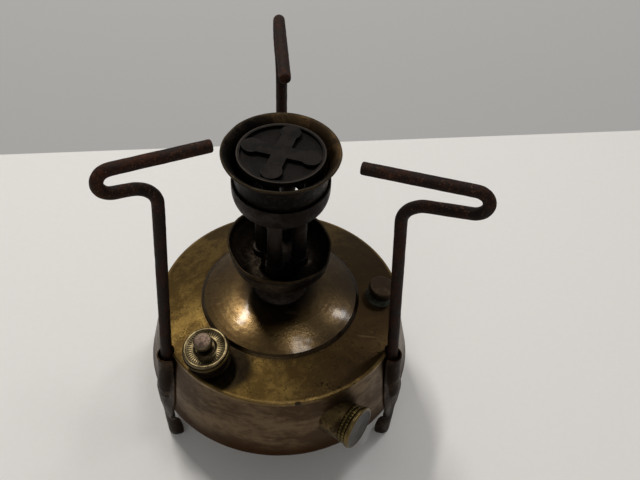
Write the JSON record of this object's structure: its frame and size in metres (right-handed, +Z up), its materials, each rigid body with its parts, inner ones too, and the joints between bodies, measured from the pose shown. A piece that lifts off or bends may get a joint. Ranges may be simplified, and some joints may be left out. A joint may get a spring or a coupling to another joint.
{
  "type": "kerosene pressure stove",
  "caption": "Brass kerosene pressure stove with a hand pump, screw filler cap, multi-tube burner, spirit cup, loose flame ring and swinging bent pan rods.",
  "frame": {"origin": "on the table plane under the tank's axis", "axes": "+Z up along the tank's axis; +Y towards the back rod and leg; +X to the right, with the pump knob at the front right"},
  "size_m": [0.1907, 0.1913, 0.2351],
  "materials": {
    "brass_tank": "tarnished drawn brass, streaky brown patina",
    "brass_top": "worn golden brass with stains",
    "brass_bright": "handled brass, fine scratches",
    "brass_dark": "dark heat-stained brass",
    "leg_brass": "dull pressed brass",
    "burner_sooty": "sooty burnt brass",
    "cup_sooty": "burnt sheet brass",
    "ring_sooty": "blackened sheet steel",
    "rod_rust": "dark rusty steel wire",
    "rod_steel": "plain drawn steel",
    "spring_steel": "fine spring wire",
    "verdigris": "brass with pale green bloom",
    "washer_lead": "soft lead, approximated",
    "leather_seal": "oiled leather",
    "cork_pip": "cork facing, approximated"
  },
  "bodies": {
    "stove": {"tank_body": "brass_tank", "tank_top": "brass_top", "riser_tube": "brass_dark", "neck_collar": "brass_dark", "spirit_cup": "cup_sooty", "burner_washer": "washer_lead", "burner_base": "burner_sooty", "burner_tube_1": "burner_sooty", "burner_tube_2": "burner_sooty", "burner_tube_3": "burner_sooty", "burner_tube_4": "burner_sooty", "jet_holder": "burner_sooty", "jet_nipple": "brass_dark", "burner_bell": "burner_sooty", "burner_head": "burner_sooty", "filler_neck": "brass_dark", "plug_boss": "verdigris", "pump_tube": "brass_dark", "pump_collar": "brass_dark", "valve_body": "brass_dark", "valve_spring": "spring_steel", "leg_left": "leg_brass", "leg_right": "leg_brass", "leg_back": "leg_brass"},
    "ring": {"flame_ring": "ring_sooty"},
    "filler_seal": {"filler_washer": "leather_seal"},
    "filler": {"filler_cap": "brass_bright"},
    "air_seal": {"air_washer": "leather_seal"},
    "air": {"air_screw": "brass_bright"},
    "plug_seal": {"plug_washer": "leather_seal"},
    "plug": {"tank_plug": "brass_dark"},
    "pump_seal": {"pump_gland": "leather_seal"},
    "pump_end": {"pump_cap": "verdigris"},
    "plunger": {"pump_rod": "rod_steel", "pump_knob": "brass_bright", "piston_plate": "rod_steel", "leather_cup": "leather_seal", "piston_nut": "rod_steel"},
    "valve": {"valve_pip": "cork_pip"},
    "left_rod": {"rod_left": "rod_rust"},
    "right_rod": {"rod_right": "rod_rust"},
    "back_rod": {"rod_back": "rod_rust"}
  },
  "joints": [
    {"name": "flame_ring_lift", "type": "slide", "parent": "stove", "child": "ring", "axis": [0, 0, 1], "range_m": [0, 0.03]},
    {"name": "filler_cap_lift", "type": "slide", "parent": "stove", "child": "filler_seal", "axis": [-0.1277, -0.1443, 0.9813], "range_m": [0, 0.009]},
    {"name": "filler_cap_turn", "type": "hinge", "parent": "filler_seal", "child": "filler", "pos_m": [-0.04055, -0.04584, 0.08967], "axis": [-0.1277, -0.1443, 0.9813], "range_deg": [0, 2160]},
    {"name": "air_screw_lift", "type": "slide", "parent": "filler", "child": "air_seal", "axis": [-0.1277, -0.1443, 0.9813], "range_m": [-0.0024, 0.0016]},
    {"name": "air_screw_turn", "type": "hinge", "parent": "air_seal", "child": "air", "pos_m": [-0.04055, -0.04584, 0.08967], "axis": [-0.1277, -0.1443, 0.9813], "range_deg": [-1080, 720]},
    {"name": "plug_lift", "type": "slide", "parent": "stove", "child": "plug_seal", "axis": [0.1927, 0.0034, 0.9813], "range_m": [0, 0.00625]},
    {"name": "plug_turn", "type": "hinge", "parent": "plug_seal", "child": "plug", "pos_m": [0.06119, 0.00107, 0.08967], "axis": [0.1927, 0.0034, 0.9813], "range_deg": [0, 1800]},
    {"name": "pump_cap_lift", "type": "slide", "parent": "stove", "child": "pump_seal", "axis": [0.8046, -0.5889, 0.0767], "range_m": [0, 0.0024]},
    {"name": "pump_cap_turn", "type": "hinge", "parent": "pump_seal", "child": "pump_end", "pos_m": [-0.02103, -0.02873, 0.0586], "axis": [0.8046, -0.5889, 0.0767], "range_deg": [0, 1080]},
    {"name": "pump_stroke", "type": "slide", "parent": "pump_end", "child": "plunger", "axis": [0.8046, -0.5889, 0.0767], "range_m": [0, 0.068]},
    {"name": "valve_lift", "type": "slide", "parent": "stove", "child": "valve", "axis": [-0.8046, 0.5889, -0.0767], "range_m": [0, 0.001], "stiffness_N_per_m": 40, "springref_m": -0.002},
    {"name": "rod_left_swing", "type": "hinge", "parent": "stove", "child": "left_rod", "pos_m": [-0.0689, -0.03978, 0.0465], "axis": [0.0588, 0.034, 0.9977], "range_deg": [-120, 120]},
    {"name": "rod_right_swing", "type": "hinge", "parent": "stove", "child": "right_rod", "pos_m": [0.0689, -0.03978, 0.0465], "axis": [-0.0588, 0.034, 0.9977], "range_deg": [-120, 120]},
    {"name": "rod_back_swing", "type": "hinge", "parent": "stove", "child": "back_rod", "pos_m": [0, 0.07956, 0.0465], "axis": [0, -0.0679, 0.9977], "range_deg": [-120, 120]}
  ],
  "couplings": [
    {"joint": "filler_cap_turn", "follows": "filler_cap_lift", "rad_per_m": 4188.8},
    {"joint": "air_screw_turn", "follows": "air_screw_lift", "rad_per_m": 7854},
    {"joint": "plug_turn", "follows": "plug_lift", "rad_per_m": 5026.5},
    {"joint": "pump_cap_turn", "follows": "pump_cap_lift", "rad_per_m": 7854}
  ]
}
